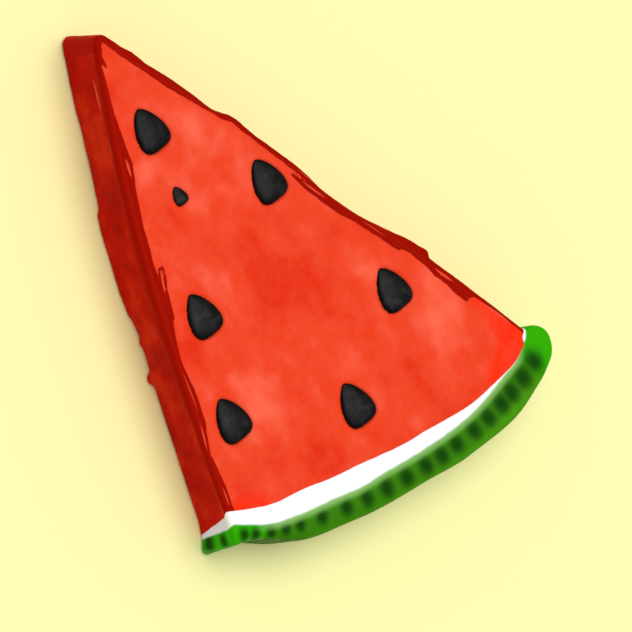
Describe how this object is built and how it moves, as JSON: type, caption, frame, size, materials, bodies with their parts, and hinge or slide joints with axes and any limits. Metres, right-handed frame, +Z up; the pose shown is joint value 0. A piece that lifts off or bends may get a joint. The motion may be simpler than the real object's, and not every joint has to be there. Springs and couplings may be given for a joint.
{
  "type": "watermelon wedge",
  "caption": "Flat triangular wedge of a round watermelon slice with red flesh, thin white rind, green skin and teardrop black seeds, lying on a cut face.",
  "frame": {"origin": "on the resting cut face, near the middle of the wedge, 66 mm in front of the point", "axes": "+Z up through the slice's thickness, +Y towards the wedge's point, the rind on the -Y side, +X to the right with the point away from the viewer"},
  "size_m": [0.097, 0.1329, 0.0193],
  "materials": {
    "flesh_and_rind": "moist cut melon flesh with white rind and green skin",
    "seed": "satin black seed coat"
  },
  "bodies": {
    "root": {"flesh_and_rind": "flesh_and_rind", "seed_front_1": "seed", "seed_front_2": "seed", "seed_front_3": "seed", "seed_front_4": "seed", "seed_front_5": "seed", "seed_front_6": "seed", "seed_front_7": "seed", "seed_back_1": "seed", "seed_back_2": "seed", "seed_back_3": "seed", "seed_back_4": "seed", "seed_back_5": "seed", "seed_back_6": "seed"}
  },
  "joints": []
}
